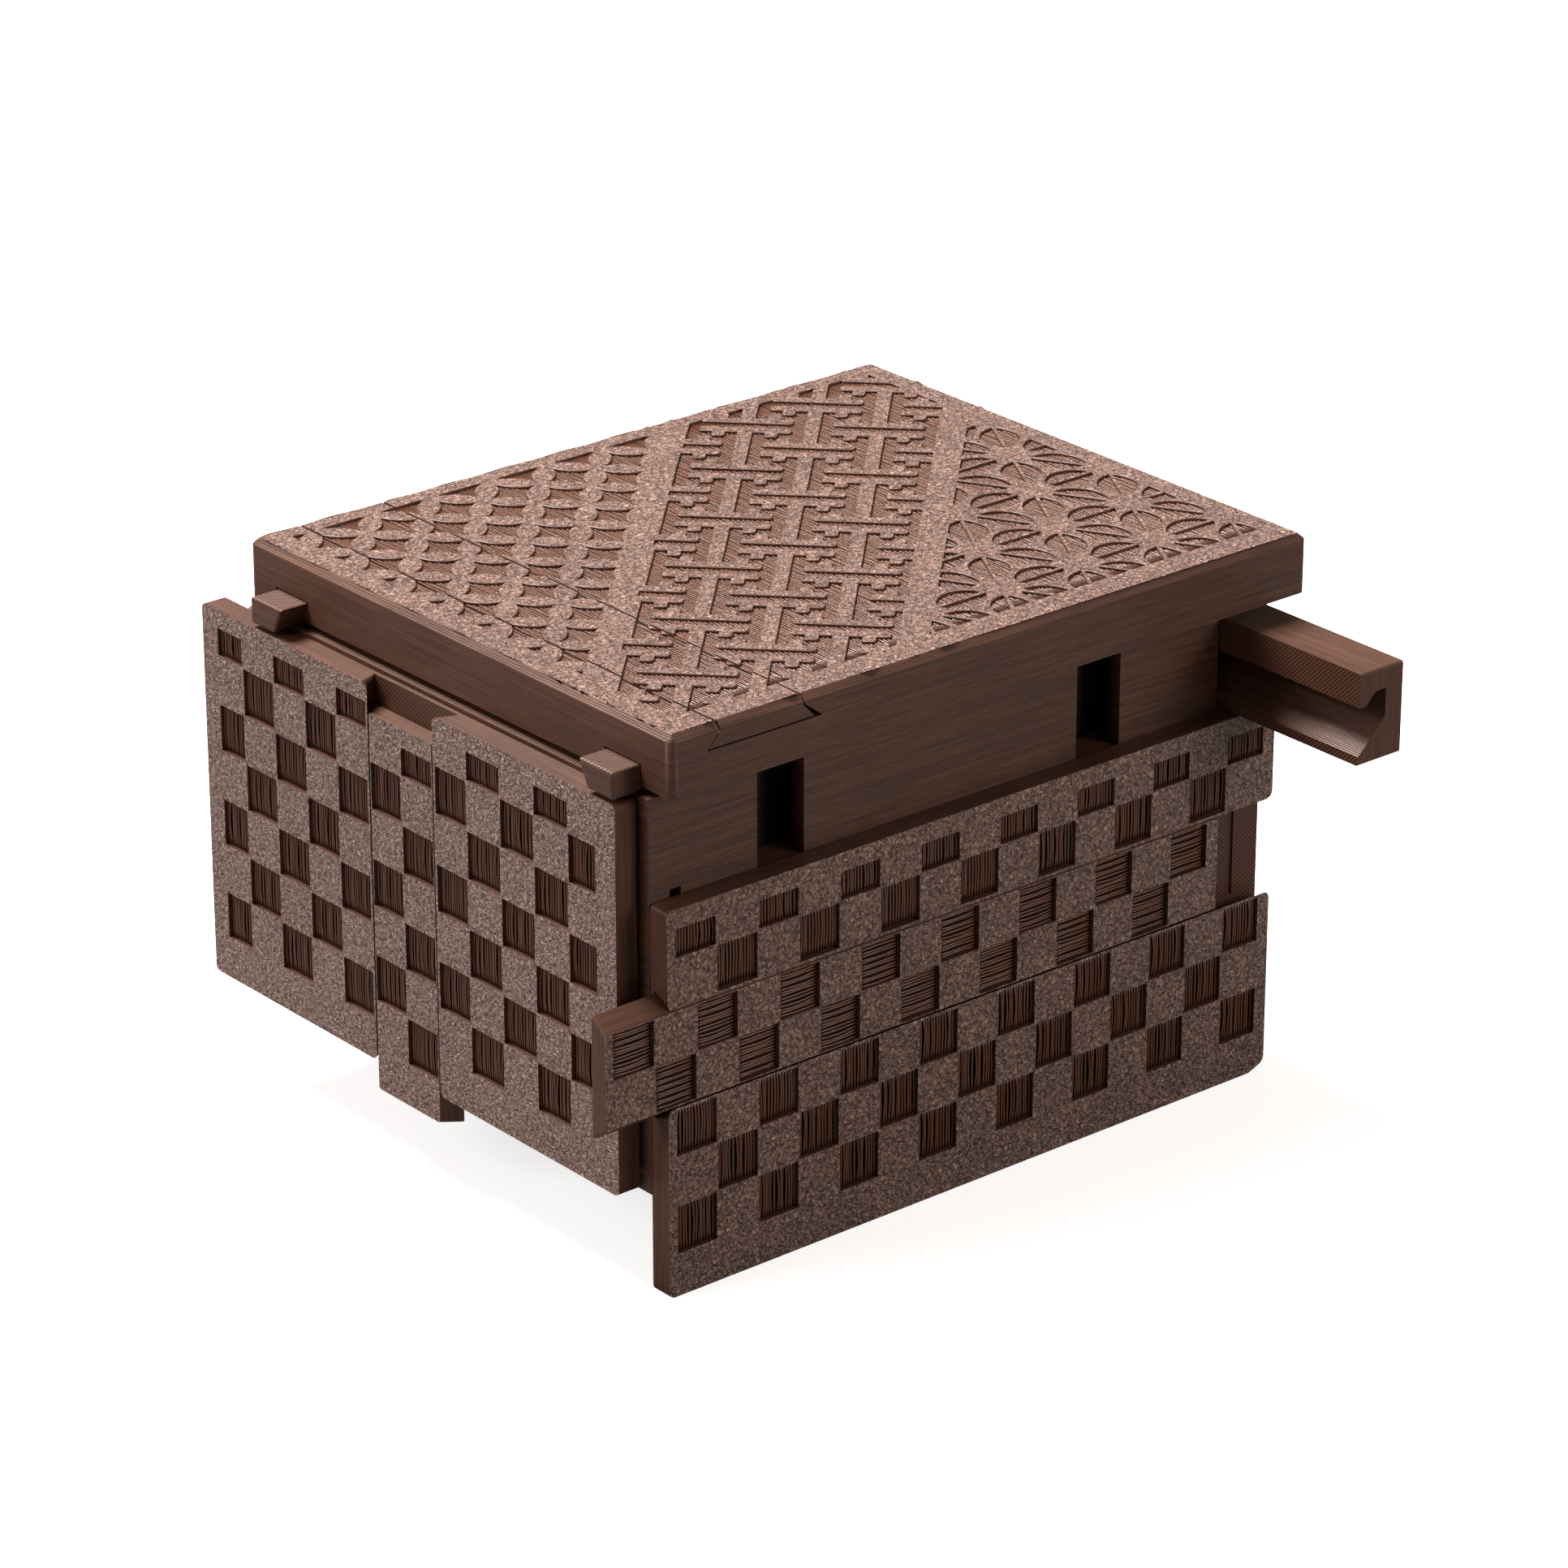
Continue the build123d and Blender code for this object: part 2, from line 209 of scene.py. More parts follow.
def scaled(tree, value, factor, offset):
    """value * factor + offset."""
    return math_node(tree, "MULTIPLY_ADD", value, factor, offset)


def product(tree, first, second):
    """first * second."""
    return math_node(tree, "MULTIPLY", first, second)


def blend(tree, factor, low, high):
    """low where factor is 0, high where it is 1."""
    return node(tree, "ShaderNodeMix", {}, {0: factor, 2: low, 3: high}).outputs[0]


def ramp(tree, value, low, high, at_low, at_high):
    """A straight ramp between two values, held level beyond them."""
    return node(tree, "ShaderNodeMapRange", {"From Min": low, "From Max": high, "To Min": at_low,
                                             "To Max": at_high}, {"Value": value}).outputs[0]


def ridge(tree, coordinate, pitch):
    """Round ridges, 0 to 1, one every pitch along a coordinate in millimetres."""
    turns = product(tree, coordinate, math.pi / pitch)
    return math_node(tree, "ABSOLUTE", math_node(tree, "SINE", turns))


def layered(tree, in_mm, axes, facing, stack):
    """Height and tint of plain print: layer lines on the sides, diagonal lines on the ends, each
    with painted shade in its grooves.
    """
    squeeze = [STREAK_STRETCH] * 3
    squeeze[stack] = 1 / STREAK
    banding = node(tree, "ShaderNodeVectorMath", {"operation": "MULTIPLY", 1: squeeze}, {0: in_mm})
    streaks = node(tree, "ShaderNodeTexNoise", {"Scale": 1.0, "Detail": 3.0, "Roughness": 0.6},
                   {"Vector": banding.outputs[0]}).outputs["Fac"]
    layer = ridge(tree, axes[stack], LAYER)
    side_height = math_node(tree, "ADD", product(tree, layer, LAYER_BUMP),
                            product(tree, streaks, STREAK_BUMP))
    # painted shade: layer grooves darker and layer tops lighter; the streaks are the filament's own
    # uneven tone
    side_tint = product(tree, scaled(tree, layer, 0.45, 0.70), scaled(tree, streaks, 1.7, 0.15))

    across = [axis for axis in range(3) if axis != stack]
    diagonal = math_node(tree, "ADD", axes[across[0]], axes[across[1]])
    line = ridge(tree, diagonal, LINE * math.sqrt(2))
    flat = math_node(tree, "GREATER_THAN", math_node(tree, "ABSOLUTE", facing[stack]), 0.8)
    height = blend(tree, flat, side_height, product(tree, line, LINE_BUMP))
    # painted shade: the grooves between the top layer's lines are darker
    return height, blend(tree, flat, side_tint, scaled(tree, line, 0.4, 0.65))


def filament(name, stack, face=None, level=0.0, kind="plate"):
    """Brown PLA.  stack is the axis the layers pile up on, face is an outward direction, and
    level is where that face is, in mm.  A plate face lay on the textured plate; it gets painted
    shade and highlight on its wrinkles, a painted grey sheen, and painted shade on the floors
    under strands.  Strands are round loose lines seen from that direction, painted darker on the
    sides turned away from it.  Slots are deep cuts into it, with painted shade that grows with
    depth."""
    material = bpy.data.materials.new(name)
    material.use_nodes = True
    tree = material.node_tree
    shader = tree.nodes["Principled BSDF"]
    shader.inputs["IOR"].default_value = 1.46
    shader.inputs["Specular IOR Level"].default_value = 0.35
    place = node(tree, "ShaderNodeTexCoord")
    in_mm = node(tree, "ShaderNodeVectorMath", {"operation": "SCALE", "Scale": 1 / MM},
                 {0: place.outputs["Object"]}).outputs[0]
    axes = node(tree, "ShaderNodeSeparateXYZ", {}, {0: in_mm}).outputs
    facing = node(tree, "ShaderNodeSeparateXYZ", {}, {0: place.outputs["Normal"]}).outputs
    grain = node(tree, "ShaderNodeTexNoise",
                 {"Scale": 1 / GRAIN, "Detail": 2.5, "Roughness": 0.62, "Distortion": 0.9},
                 {"Vector": in_mm}).outputs["Fac"]
    patches = node(tree, "ShaderNodeTexNoise", {"Scale": 0.09, "Detail": 2.0},
                   {"Vector": in_mm}).outputs["Fac"]
    if face:
        axis = next(i for i in range(3) if face[i])
        sign = float(face[axis])
        turned = product(tree, facing[axis], sign)

    colour_and_sheen = linear(BROWN)
    if kind == "strands":
        height = product(tree, grain, STRAND_BUMP)
        # painted shade: a strand's sides darken as they turn away from the face, down to 0.04, so
        # the gaps between strands read dark
        tint = ramp(tree, turned, 0.35, 0.97, 0.04, 1.7)
    else:
        height, tint = layered(tree, in_mm, axes, facing, stack)
        rough = scaled(tree, grain, 0.2, 0.32)
        if face:
            depth = scaled(tree, axes[axis], -sign, level * sign + FACE_SLACK)
    # painted shade: the colour darkens with depth into the slots, down to 0.12 of itself, as little
    # light comes back from deep inside
    if face and kind == "slots":
        tint = product(tree, tint, ramp(tree, depth, 0.5, 2.4, 1.0, 0.12))
    if face and kind == "plate":
        square_on = math_node(tree, "GREATER_THAN", turned, 0.75)
        on_plate = product(tree, square_on, math_node(tree, "LESS_THAN", depth, 2 * FACE_SLACK))
        # painted shade: floors a little behind the face, under the strands, are darkened to 0.3 of
        # their colour
        shade_under_strands = product(tree, math_node(tree, "SUBTRACT", square_on, on_plate),
                                math_node(tree, "LESS_THAN", depth, STRAND_DEPTH))
        tint = product(tree, tint, scaled(tree, shade_under_strands, -0.7, 1.0))
        height = blend(tree, on_plate, height, ramp(tree, grain, 0.32, 0.68, 0.0, WRINKLE_BUMP))
        # painted shade and highlight: the wrinkles' hollows are darkened and their tops lightened
        # by the grain that shapes them
        tint = blend(tree, on_plate, tint, ramp(tree, grain, 0.36, 0.66, 0.36, 1.85))
        # painted sheen: faces on the plate take the lighter, greyer colour in place of the brown
        colour_and_sheen = node(tree, "ShaderNodeMix", {"data_type": "RGBA", 6: colour_and_sheen, 7: linear(PAINTED_SHEEN)},
                       {0: on_plate}).outputs[2]
        rough = product(tree, rough, scaled(tree, on_plate, -0.4, 1.0))

    tint = product(tree, tint, scaled(tree, patches, 0.3, 0.85))
    base = node(tree, "ShaderNodeVectorMath", {"operation": "SCALE"}, {"Scale": tint})
    if isinstance(colour_and_sheen, list):
        base.inputs[0].default_value = colour_and_sheen[:3]
    else:
        tree.links.new(colour_and_sheen, base.inputs[0])
    if kind == "strands":
        shader.inputs["Roughness"].default_value = STRAND_ROUGHNESS
    else:
        tree.links.new(rough, shader.inputs["Roughness"])
    tree.links.new(base.outputs[0], shader.inputs["Base Color"])
    bump = node(tree, "ShaderNodeBump", {"Strength": 1.0, "Distance": MM}, {"Height": height})
    tree.links.new(bump.outputs[0], shader.inputs["Normal"])
    return material


UP, FRONT, BACK, LEFT, RIGHT = (0, 0, 1), (0, -1, 0), (0, 1, 0), (-1, 0, 0), (1, 0, 0)
lid_low, lid_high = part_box("lid")
front_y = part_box("front_panel")[0].y / MM
back_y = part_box("back_panel")[1].y / MM
left_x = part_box("left_panel")[0].x / MM
right_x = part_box("right_lower_panel")[1].x / MM
wall_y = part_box("core_front_wall")[0].y / MM
FINISHES = {
    "lid": filament("PLA lid, textured top", 2, UP, lid_high.z / MM),
    "front": filament("PLA front, textured face", 1, FRONT, front_y),
    "back": filament("PLA back, textured face", 1, BACK, back_y),
    "left": filament("PLA left end, textured face", 0, LEFT, left_x),
    "right": filament("PLA right end, textured face", 0, RIGHT, right_x),
    "core": filament("PLA core, upright layers", 2),
    "slotted core": filament("PLA core, slotted front, painted slot shade", 2, FRONT, wall_y, kind="slots"),
    "lid strands": filament("PLA strands seen from above", 2, UP, kind="strands"),
    "front strands": filament("PLA strands seen from the front", 2, FRONT, kind="strands"),
    "back strands": filament("PLA strands seen from the back", 2, BACK, kind="strands"),
    "left strands": filament("PLA strands seen from the left", 2, LEFT, kind="strands"),
    "right strands": filament("PLA strands seen from the right", 2, RIGHT, kind="strands"),
}
print("finishes", sorted(FINISHES))

# %% [markdown]
# ## A printed copy of a CAD piece
# The CAD mesh is loose triangles with knife edges.  A copy is merged, its flat triangles are
# dissolved into whole faces, and its sharp edges get a small round, because a nozzle 0.4 mm
# wide can't lay down a sharp corner.


# %% Copy helpers
MERGE_DISTANCE = 0.002 * MM


def welded_copy(node_name):
    """The CAD node's mesh as a bmesh whose triangles share their corners."""
    shape = bmesh.new()
    shape.from_mesh(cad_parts[node_name].data)
    bmesh.ops.remove_doubles(shape, verts=shape.verts[:], dist=MERGE_DISTANCE)
    return shape


def merged_copy(node_name):
    """The CAD node's mesh as a clean bmesh with whole flat faces."""
    shape = welded_copy(node_name)
    bmesh.ops.dissolve_limit(shape, angle_limit=math.radians(1.0), verts=shape.verts[:],
                             edges=shape.edges[:])
    return shape


def round_edges(shape, radius):
    """Round every edge that turns by more than 25 degrees.  radius is in mm."""
    sharp = [edge for edge in shape.edges
             if len(edge.link_faces) == 2 and edge.calc_face_angle(0.0) > math.radians(25)]
    bmesh.ops.bevel(shape, geom=sharp, affect="EDGES", offset=radius * MM, segments=2,
                    profile=0.5, material=-1, clamp_overlap=True)


def finished(shape, name, body, finish, stands_for=None):
    """Turn a bmesh into a piece that rides on a body."""
    mesh = bpy.data.meshes.new(name)
    shape.to_mesh(mesh)
    shape.free()
    mesh.materials.append(FINISHES[finish])
    piece = bpy.data.objects.new(name, mesh)
    bpy.context.scene.collection.objects.link(piece)
    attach(piece, body)
    if stands_for:
        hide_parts(stands_for)
    print(name, len(mesh.polygons), "faces")
    return piece


def round_corners(shape, axis, radius):
    """Round the outer corners of a panel as seen from its face.  axis is the one the face looks
    along, and radius is in mm.  Inside corners and edges under 2 mm stay as they are."""
    chosen = []
    for edge in shape.edges:
        run = edge.verts[1].co - edge.verts[0].co
        sharp = len(edge.link_faces) == 2 and edge.calc_face_angle(0.0) > math.radians(60)
        through = run.length > 2.0 * MM and abs(run[axis]) > 0.75 * run.length
        if sharp and edge.is_convex and through:
            chosen.append(edge)
    bmesh.ops.bevel(shape, geom=chosen, affect="EDGES", offset=radius * MM, segments=4,
                    profile=0.5, material=-1, clamp_overlap=True)


def printed_copy(node_name, body, finish, radius, face_axis=None, corner=0.0):
    """A CAD piece with rounded edges and its filament finish.  radius and corner are in mm."""
    shape = merged_copy(node_name)
    if face_axis is not None:
        round_corners(shape, face_axis, corner)
    round_edges(shape, radius)
    return finished(shape, node_name + "_print", body, finish, node_name)


# %% [markdown]
# ## Bridging strands
# Over a recess the nozzle draws free strands from rim to rim.  They sag, pull together in
# pairs and leave dark gaps, partly cast by the strands and partly painted shade on the floor
# below and on the strands' sides turned from the face.  Each strand is a six-sided bar, divided
# along its length and bent a little.  A few different patches are made for each size of recess, and
# each recess gets one of them by chance.

# %% Strands
STRAND_RADIUS = 0.19 * MM
STRAND_SIDES = 6
SAG = 0.16 * MM         # the most a strand bows out of its plane
STRAY = 0.2 * MM        # the most a strand is pulled sideways, less what its neighbour passes on
LIFT = 0.06 * MM        # how far strands lie above the recess floor
PATCH_KINDS = 5         # different patches for one size of recess
RECESS_DEPTHS = (0.3 * MM, 1.2 * MM)    # how far behind the face a recess floor may lie
chance = random.Random(11)


def add_bar(shape, length, cuts):
    """Add one six-sided bar along Y, divided along its length, and return its vertices."""
    before = len(shape.verts)
    bmesh.ops.create_cone(shape, cap_ends=True, segments=STRAND_SIDES, radius1=STRAND_RADIUS,
                          radius2=STRAND_RADIUS, depth=length,
                          matrix=Matrix.Rotation(math.pi / 2, 4, "X"))
    shape.edges.ensure_lookup_table()
    long_edges = [edge for edge in shape.edges[-3 * STRAND_SIDES:]
                  if abs(edge.verts[0].co.y - edge.verts[1].co.y) > length / 2]
    bmesh.ops.subdivide_edges(shape, edges=long_edges, cuts=cuts, use_grid_fill=True)
    shape.verts.ensure_lookup_table()
    return shape.verts[before:]


def strand_patch(width, length):
    """Strands along Y that fill width by length, centred on the origin, bulging to +Z."""
    patch = bmesh.new()
    count = max(2, round(width / (LINE * MM)))
    pitch = width / count
    pull = 0.0
    for index in range(count):
        bar = add_bar(patch, length, 5)
        pull = 0.35 * pull + chance.uniform(-STRAY, STRAY)
        droop = chance.uniform(0.2, 1.0) * SAG
        phase = chance.uniform(-0.15, 0.15)
        for v in bar:
            along = v.co.y / length + 0.5
            skewed = along + phase * (1 - abs(2 * along - 1))
            bow = math.sin(math.pi * min(1.0, max(0.0, skewed)))
            v.co.x += (index + 0.5 - count / 2) * pitch + pull * bow
            v.co.z += droop * bow
    return patch


def smooth_sides(piece):
    """Shade the four-cornered sides of strands as round and leave their six-sided ends flat."""
    for face in piece.data.polygons:
        face.use_smooth = len(face.vertices) == 4


def recess_floors(node_name, axis, sign):
    """Boxes of the flat floors that lie a little behind a CAD piece's outer face."""
    shape = welded_copy(node_name)
    outer = max(v.co[axis] * sign for v in shape.verts)
    nearest, farthest = RECESS_DEPTHS
    floors = {f for f in shape.faces if f.normal[axis] * sign > 0.99
              and nearest < outer - f.calc_center_median()[axis] * sign < farthest}
    found = []
    while floors:
        group = [floors.pop()]
        for face in group:      # the group grows while it is walked through
            for edge in face.edges:
                for other in edge.link_faces:
                    if other in floors:
                        floors.remove(other)
                        group.append(other)
        points = [v.co.copy() for f in group for v in f.verts]
        found.append((Vector([min(p[i] for p in points) for i in range(3)]),
                      Vector([max(p[i] for p in points) for i in range(3)])))
    shape.free()
    return sorted(found, key=lambda box: [round(box[0][i], 4) for i in (2, 0, 1)])


def lay_strands(node_name, body, finish, axis, sign, level_strands):
    """Fill every recess of a face with strands, upright or level."""
    floors = recess_floors(node_name, axis, sign)
    outward = Vector([sign if i == axis else 0 for i in range(3)])
    run = Vector((0, 0, 1))
    side = run.cross(outward)
    if level_strands:
        run, side = side, -run
    turn = Matrix((side, run, outward)).transposed().to_4x4()
    patches = {}
    whole = bmesh.new()
    for low, high in floors:
        size = high - low
        width = abs(size.dot(side)) + 0.1 * MM
        length = abs(size.dot(run)) + 0.2 * MM
        key = (round(width / MM, 1), round(length / MM, 1))
        if key not in patches:
            patches[key] = []
            for _ in range(PATCH_KINDS):
                mesh = bpy.data.meshes.new("patch")
                patch = strand_patch(width, length)
                patch.to_mesh(mesh)
                patch.free()
                patches[key].append(mesh)
        old = len(whole.verts)
        whole.from_mesh(chance.choice(patches[key]))
        whole.verts.ensure_lookup_table()
        middle = (low + high) / 2 + outward * LIFT
        bmesh.ops.transform(whole, matrix=Matrix.Translation(middle) @ turn,
                            verts=whole.verts[old:])
    for mesh in [m for group in patches.values() for m in group]:
        bpy.data.meshes.remove(mesh)
    bmesh.ops.recalc_face_normals(whole, faces=whole.faces[:])
    smooth_sides(finished(whole, node_name + "_strands", body, finish + " strands"))


# %% [markdown]
# ## Panels and strips
# The front, back and end panels are copies of the CAD pieces with strands in every recess.
# Strands run up the face on the panels and along it on the two long strips.

# %% Panels
PANEL_CORNER = 0.8      # mm
STRIP_CORNER = 0.35     # mm, on the strips and the left key
PANEL_EDGE = 0.1        # mm
PANELS = [              # node, body, finish, axis and sign of its face, level strands
    ("front_panel", "front_panel", "front", 1, -1, False),
    ("front_strip", "front_strip", "front", 1, -1, True),
    ("back_panel", "root", "back", 1, 1, False),
    ("back_strip", "back_strip", "back", 1, 1, True),
    ("left_panel", "left_panel", "left", 0, -1, False),
    ("left_key", "left_key", "left", 0, -1, False),
    ("right_lower_panel", "root", "right", 0, 1, False),
    ("right_upper_strip", "right_upper_strip", "right", 0, 1, False),
]
for node_name, body, finish, axis, sign, level in PANELS:
    corner = PANEL_CORNER if node_name.endswith("panel") else STRIP_CORNER
    printed_copy(node_name, body, finish, PANEL_EDGE, axis, corner)
    lay_strands(node_name, body, finish, axis, sign, level)

# %% [markdown]
# ## Core, rails and runners
# These are plain printed blocks.  Their layers pile up along Z, so their sides show level lines.
# The lid's rails and the runners have rounder edges than the core.

# %% Core
CORE_EDGE = 0.08        # mm
RAIL_EDGE = 0.3         # mm
RUNNER_EDGE = 0.15      # mm
for node_name in ("core_floor", "core_front_wall", "core_back_wall", "core_left_wall",
                  "core_right_wall", "right_rail"):
    finish = "slotted core" if node_name == "core_front_wall" else "core"
    printed_copy(node_name, "root", finish, CORE_EDGE)
for node_name in ("lid_rail_front", "lid_rail_back"):
    printed_copy(node_name, "root", "core", RAIL_EDGE)
for node_name, body in (("front_runner_left", "front_panel"), ("front_runner_right", "front_panel"),
                        ("left_runner_lower", "left_panel"), ("left_runner_upper", "left_panel")):
    printed_copy(node_name, body, "core", RUNNER_EDGE)

# %% [markdown]
# ## The lid's three patterns
# Two plain bands run across the lid at 45 degrees.  They part three old patterns: linked
# rings at the back left, a fret of hooked bars in the middle, and star leaves at the front
# right.  Each pattern is drawn as flat outlines.  All outlines are overlaid in one flat
# arrangement, which cuts them where they cross, and the faces that stay raised are pulled up.

# %% Lid sizes
RELIEF = 0.42 * MM      # how far the pattern stands above the recess floor
SINK = 0.04 * MM        # how far the relief reaches into the body below it
CHAMFER = 0.8 * MM
CORNER = 1.0 * MM
ROUND = 0.07 * MM       # the small bevel round the top of the relief
KEY_TOP_WIDTH = 12.4 * MM
KEY_GAP = 0.15 * MM
SEAM = 0.09 * MM        # how much each side of the key's gap is widened, so that it shows
MARGINS = {"left": 4.1 * MM, "right": 3.7 * MM, "front": 4.8 * MM, "back": 3.3 * MM}
BAND_WIDTH = 3.7 * MM
BAND_OFFSETS = (-19.7 * MM, 30.4 * MM)  # of x - y along the middle of each band
BAND_REACH = 60 * MM    # bands and key cuts are drawn from well outside the lid to well
CUT_REACH = 50 * MM     # outside it on the other side
PETAL_SLACK = 4 * MM    # how far outside its zone the middle of an outline may lie
BAR_SLACK = 6 * MM
LEAF_SLACK = 4 * MM
field_low = Vector((lid_low.x + MARGINS["left"], lid_low.y + MARGINS["front"]))
field_high = Vector((lid_high.x - MARGINS["right"], lid_high.y - MARGINS["back"]))
key_low, key_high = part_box("lid_key")
key_x = (key_low.x + key_high.x) / 2
floor_z = lid_high.z - RELIEF


def zone_of(point):
    """Which zone a point of the lid is in: 0 rings, 1 fret, 2 stars."""
    return sum(point.x - point.y > offset for offset in BAND_OFFSETS)


def near_zone(outline, zone, slack):
    """True if an outline's middle is in a zone and in the field, or within slack of them."""
    point = sum(outline, Vector((0, 0))) / len(outline)
    diagonal = point.x - point.y
    lows = (-1.0, *BAND_OFFSETS)
    highs = (*BAND_OFFSETS, 1.0)
    inside = (field_low.x - slack < point.x < field_high.x + slack
              and field_low.y - slack < point.y < field_high.y + slack)
    wide = slack * 1.5      # a little over the square root of two, as x - y needs
    return inside and lows[zone] - wide < diagonal < highs[zone] + wide


# %% Outlines
def arc(centre, radius, start, stop, steps):
    """Points on an arc, angles in radians."""
    angles = [start + (stop - start) * i / steps for i in range(steps + 1)]
    return [Vector((centre[0] + radius * math.cos(a), centre[1] + radius * math.sin(a)))
            for a in angles]


def rounded_rectangle(low, high, radius, steps=3):
    """A rectangle with round corners, anticlockwise."""
    left, right = low[0] + radius, high[0] - radius
    near, far = low[1] + radius, high[1] - radius
    quarter = math.pi / 2
    corners = ((right, near, -quarter), (right, far, 0), (left, far, quarter),
               (left, near, 2 * quarter))
    return [p for x, y, turn in corners for p in arc((x, y), radius, turn, turn + quarter, steps)]


RING_PERIOD = (8.97 * MM, 9.47 * MM)
RING_NODE = (-38.8 * MM, 18.4 * MM)
RING_RADIUS = 0.518     # of a period, so that the petals keep a neck where they meet


def petals():
    """Lens petals between the nodes of the ring pattern."""
    spread = math.acos(math.sqrt(0.125) / RING_RADIUS)
    upper = arc((0.5, 0.0), RING_RADIUS, 0.75 * math.pi - spread, 0.75 * math.pi + spread, 8)
    lower = arc((0.0, 0.5), RING_RADIUS, -0.25 * math.pi - spread, -0.25 * math.pi + spread, 8)
    found = []
    for i in range(-3, 24):
        for j in range(-24, 24):
            if (i + j) % 2:
                continue
            for slope in (1, -1):
                lens = [Vector((i / 2 + p.x, j / 2 + slope * p.y)) for p in upper + lower]
                lens = [Vector((RING_NODE[0] + p.x * RING_PERIOD[0],
                                RING_NODE[1] + p.y * RING_PERIOD[1])) for p in lens[::slope]]
                if near_zone(lens, 0, PETAL_SLACK):
                    found.append(lens)
    return found


FRET_PERIOD = (11.79 * MM, 12.1 * MM)
FRET_START = (-20.79 * MM, -27.32 * MM)
FRET_UNITS = 5          # bar widths in half a period along the diagonals
FRET_BARS = (           # along the stem, then across it, in bar widths
    ((0, -3.5), (1, 3.5)), ((8, -3.5), (9, 3.5)), ((0.5, -0.58), (8.5, 0.58)),
    ((0.4, -2.5), (1.95, -1.5)), ((0.4, 1.5), (1.95, 2.5)),
    ((7.05, -2.5), (8.6, -1.5)), ((7.05, 1.5), (8.6, 2.5)),
)


def fret_bars():
    """The bars of the hooked fret, turned by 45 degrees."""
    unit = [period / (FRET_UNITS * math.sqrt(2)) for period in FRET_PERIOD]
    found = []
    for i in range(-12, 13):
        for j in range(-12, 13):
            for low, high in FRET_BARS:
                bar = []
                for p in rounded_rectangle(low, high, 0.26):
                    along = p.x + FRET_UNITS * (i + j)
                    over = p.y + FRET_UNITS * (i - j)
                    bar.append(Vector((FRET_START[0] + (along + over) / math.sqrt(2) * unit[0],
                                       FRET_START[1] + (along - over) / math.sqrt(2) * unit[1])))
                if near_zone(bar, 1, BAR_SLACK):
                    found.append(bar[::-1])
    return found


STAR_SIDE = 12.45 * MM
STAR_ROW = 11.02 * MM
STAR_CENTRE = (25.79 * MM, -30.17 * MM)
LEAF_LENGTH = 7.1 / 12.45       # of the triangle's side, as the next two are
LEAF_RISE = 2.25 / 12.45
LEAF_OFFSET = 0.27 / 12.45


def leaves():
    """Leaf-shaped recesses, two along each side of the star triangles."""
    half, rise = LEAF_LENGTH / 2, LEAF_RISE
    radius = (half * half + rise * rise) / (2 * rise)
    spread = math.asin(half / radius)
    centre = (0.5, LEAF_OFFSET + rise - radius)
    outline = arc(centre, radius, math.pi / 2 - spread, math.pi / 2 + spread, 10)
    found = []
    for i in range(-14, 15):
        for j in range(-3, 10):
            for turn in range(3):
                for flip in (1, -1):
                    a = turn * math.pi / 3
                    leaf = [Vector((p.x, p.y * flip)) for p in outline]
                    leaf = [Vector((p.x * math.cos(a) - p.y * math.sin(a),
                                    p.x * math.sin(a) + p.y * math.cos(a))) for p in leaf]
                    leaf = [Vector((STAR_CENTRE[0] + (p.x + i + j / 2) * STAR_SIDE,
                                    STAR_CENTRE[1] + (p.y / math.sqrt(0.75) + j) * STAR_ROW))
                            for p in leaf]
                    if near_zone(leaf, 2, LEAF_SLACK):
                        found.append(leaf[::flip])
    return found


# %% [markdown]
# ## Overlay the outlines
# delaunay_2d_cdt takes all outlines at once and returns the faces between them, with the
# outlines that each face lies in.  A face is a recess if its zone's rule says so.

# %% Arrangement
lid_outline = rounded_rectangle((lid_low.x + RELIEF, lid_low.y + RELIEF),
                                (lid_high.x - RELIEF, lid_high.y - RELIEF), CORNER - RELIEF, 4)
field = [Vector((field_low.x, field_low.y)), Vector((field_high.x, field_low.y)),
         Vector((field_high.x, field_high.y)), Vector((field_low.x, field_high.y))]
half = BAND_WIDTH / math.sqrt(2)
band_corners = ((-BAND_REACH, -half), (-BAND_REACH, half), (BAND_REACH, half), (BAND_REACH, -half))
bands = [[Vector((y + offset + shift, y)) for y, shift in band_corners] for offset in BAND_OFFSETS]
groups = {"lid": [lid_outline], "field": [field], "band": bands,
          "petal": petals(), "bar": fret_bars(), "leaf": leaves()}
points, polygons, kind_of = [], [], []
for kind, outlines in groups.items():
    for outline in outlines:
        polygons.append(list(range(len(points), len(points) + len(outline))))
        points += outline
        kind_of.append(kind)
cuts = []
key_edge = KEY_TOP_WIDTH / 2 - SEAM
slot_edge = KEY_TOP_WIDTH / 2 + KEY_GAP + SEAM
for reach in (key_edge, slot_edge):
    for sign in (-1, 1):
        cuts.append((len(points), len(points) + 1))
        points += [Vector((key_x + sign * reach, y)) for y in (-CUT_REACH, CUT_REACH)]
OUTPUT_TYPE = 3         # of delaunay_2d_cdt: the outlines and where they cross, not triangles
SNAP = 1e-4             # mm, points nearer than this are one
arranged, _, faces, _, _, inside = delaunay_2d_cdt(
    [p / MM for p in points], cuts, polygons, OUTPUT_TYPE, SNAP, True)
print({kind: len(outlines) for kind, outlines in groups.items()}, "gives", len(faces), "faces")


def is_recess(kinds, centre):
    """The rule for each zone: petals and bars stay raised, and leaves are cut in."""
    if "field" not in kinds or "band" in kinds:
        return False
    return ("petal" not in kinds, "bar" not in kinds, "leaf" in kinds)[zone_of(centre)]


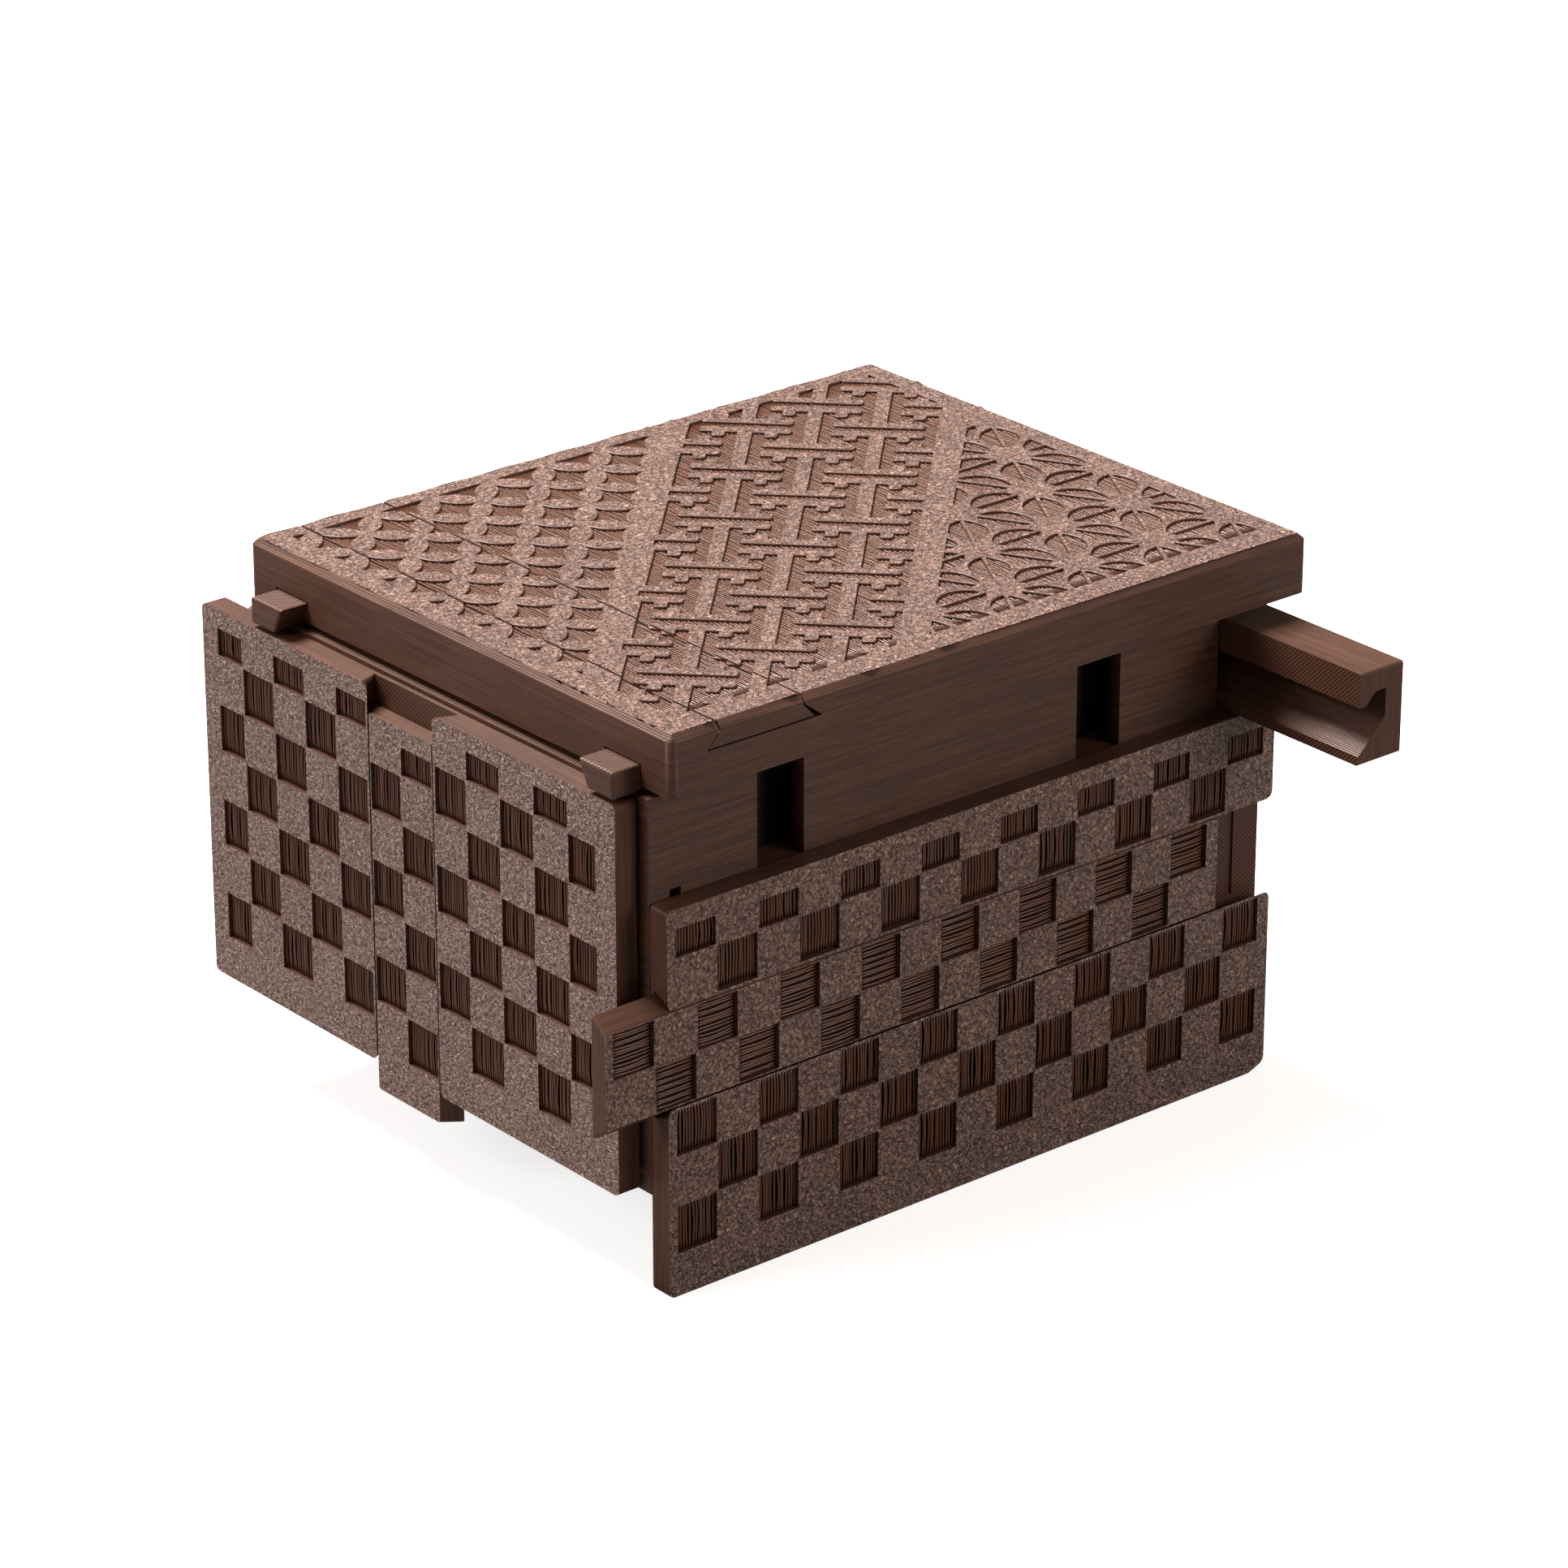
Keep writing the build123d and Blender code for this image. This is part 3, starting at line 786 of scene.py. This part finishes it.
def relief_plate(wanted):
    """The raised part of the lid's top, for the faces that wanted(centre) chooses."""
    shape = bmesh.new()
    corners = [shape.verts.new((p.x * MM, p.y * MM, floor_z - SINK)) for p in arranged]
    for face, sources in zip(faces, inside):
        kinds = {kind_of[s] for s in sources}
        centre = sum((arranged[i] for i in face), Vector((0, 0))) / len(face) * MM
        if "lid" in kinds and wanted(centre) and not is_recess(kinds, centre):
            shape.faces.new([corners[i] for i in face])
    bmesh.ops.delete(shape, geom=[v for v in shape.verts if not v.link_faces], context="VERTS")
    bmesh.ops.recalc_face_normals(shape, faces=shape.faces[:])
    if sum(face.normal.z for face in shape.faces) < 0:
        bmesh.ops.reverse_faces(shape, faces=shape.faces[:])
    raised = bmesh.ops.extrude_face_region(shape, geom=shape.faces[:])
    top_verts = [g for g in raised["geom"] if isinstance(g, bmesh.types.BMVert)]
    top_faces = [g for g in raised["geom"] if isinstance(g, bmesh.types.BMFace)]
    bmesh.ops.translate(shape, verts=top_verts, vec=(0, 0, RELIEF + SINK - ROUND))
    # the rim slopes in with the lid's chamfer, so its top vertices move towards the middle
    at_floor, at_top = CORNER - RELIEF, CORNER - CHAMFER
    for v in top_verts:
        anchor = Vector((min(max(v.co.x, lid_low.x + CORNER), lid_high.x - CORNER),
                         min(max(v.co.y, lid_low.y + CORNER), lid_high.y - CORNER)))
        out = v.co.xy - anchor
        if out.length > at_floor * 0.9:
            v.co.xy = anchor + out * (at_top / at_floor)
    bmesh.ops.inset_region(shape, faces=top_faces, thickness=ROUND, depth=ROUND,
                           use_boundary=True, use_even_offset=True)
    return shape


# %% [markdown]
# ## Lid and key
# The lower body is the CAD lid cut off at the recess floor.  The relief plate stands on it,
# and the recess floor is covered by strands laid side by side from front to back.

# %% Lid pieces
FLOOR_STRAND_SINK = 0.05 * MM   # how far the middle of a floor strand lies under the floor
FLOOR_STRAND_CUTS = 22


def cut_at_floor(node_name):
    """A CAD piece below the recess floor, closed on top."""
    shape = merged_copy(node_name)
    everything = shape.verts[:] + shape.edges[:] + shape.faces[:]
    bmesh.ops.bisect_plane(shape, geom=everything, dist=1e-7, plane_co=(0, 0, floor_z),
                           plane_no=(0, 0, 1), clear_outer=True)
    bmesh.ops.holes_fill(shape, edges=[edge for edge in shape.edges if edge.is_boundary])
    return shape


def loose_key():
    """The key's lower body, a little narrower and shallower, so that its seam shows dark."""
    shape = cut_at_floor("lid_key")
    bmesh.ops.scale(shape, vec=(1 - 2 * SEAM / KEY_TOP_WIDTH, 1, 1), verts=shape.verts[:],
                    space=Matrix.Translation((-key_x, 0, 0)))
    lowest = [v for v in shape.verts if v.co.z < key_low.z + 0.01 * MM]
    bmesh.ops.translate(shape, verts=lowest, vec=(0, 0, SEAM))
    return shape


def floor_strands(x_from, x_to):
    """Strands along Y over part of the lid's field."""
    length = field_high.y - field_low.y + 0.4 * MM
    count = max(1, round((x_to - x_from) / (LINE * MM)))
    pitch = (x_to - x_from) / count
    shape = bmesh.new()
    for index in range(count):
        bar = add_bar(shape, length, FLOOR_STRAND_CUTS)
        wander = [chance.uniform(0, 6.28) for _ in range(3)]
        for v in bar:
            along = v.co.y / MM
            drift = (0.05 * math.sin(along / 3.1 + wander[0])
                     + 0.04 * math.sin(along / 1.7 + wander[1]))
            rise = 0.035 * math.sin(along / 2.3 + wander[2])
            v.co.x += x_from + (index + 0.5) * pitch + drift * MM
            v.co.z += floor_z - FLOOR_STRAND_SINK + rise * MM
            v.co.y += (field_low.y + field_high.y) / 2
    bmesh.ops.recalc_face_normals(shape, faces=shape.faces[:])
    return shape


finished(cut_at_floor("lid"), "lid_body", "lid", "lid", "lid")
finished(loose_key(), "lid_key_body", "lid_key", "lid", "lid_key")
finished(relief_plate(lambda centre: abs(centre.x - key_x) > slot_edge),
         "lid_relief", "lid", "lid")
finished(relief_plate(lambda centre: abs(centre.x - key_x) < key_edge),
         "lid_key_relief", "lid_key", "lid")
for name, body, x_from, x_to in (
        ("lid_strands_left", "lid", field_low.x, key_x - slot_edge),
        ("lid_key_strands", "lid_key", key_x - key_edge, key_x + key_edge),
        ("lid_strands_right", "lid", key_x + slot_edge, field_high.x)):
    smooth_sides(finished(floor_strands(x_from, x_to), name, body, "lid strands"))
